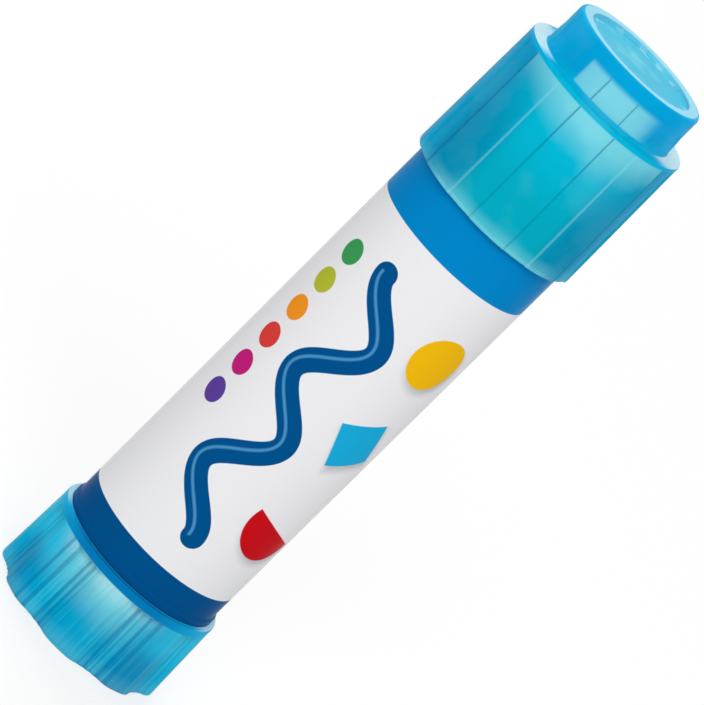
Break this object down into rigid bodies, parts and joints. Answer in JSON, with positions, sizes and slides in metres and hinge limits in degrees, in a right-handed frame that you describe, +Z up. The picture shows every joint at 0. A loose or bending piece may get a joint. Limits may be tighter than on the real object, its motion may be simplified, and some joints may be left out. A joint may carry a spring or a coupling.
{
  "type": "glue stick",
  "caption": "Round twist-up glue stick with a stepped push-on cap, a printed sleeve and a lobed turning knob at its foot.",
  "frame": {"origin": "centre of the knob's foot, on the surface that the stick stands on", "axes": "+Z up the stick's axis, from the knob to the cap; -Y is the side that the picture shows"},
  "size_m": [0.0214, 0.0214, 0.0845],
  "materials": {
    "printed_film": "glossy printed film",
    "tinted_plastic": "clear blue tint, glossy",
    "natural_plastic": "satin",
    "glue": "waxy"
  },
  "bodies": {
    "barrel": {"barrel": "tinted_plastic", "label_sleeve": "printed_film"},
    "knob": {"turning_knob": "tinted_plastic", "screw_spindle": "natural_plastic"},
    "carrier": {"glue_carrier": "natural_plastic", "glue": "glue"},
    "cap": {"cap": "tinted_plastic"}
  },
  "joints": [
    {"name": "knob_turn", "type": "hinge", "parent": "barrel", "child": "knob", "pos_m": [0, 0, 0.01235], "axis": [0, 0, 1], "range_deg": [-5612, 662]},
    {"name": "glue_lift", "type": "slide", "parent": "barrel", "child": "carrier", "axis": [0, 0, 1], "range_m": [-0.04675, 0.0055]},
    {"name": "cap_pull", "type": "slide", "parent": "barrel", "child": "cap", "axis": [0, 0, 1], "range_m": [0, 0.05]}
  ],
  "couplings": [
    {"joint": "knob_turn", "follows": "glue_lift", "rad_per_m": 2094.4}
  ]
}
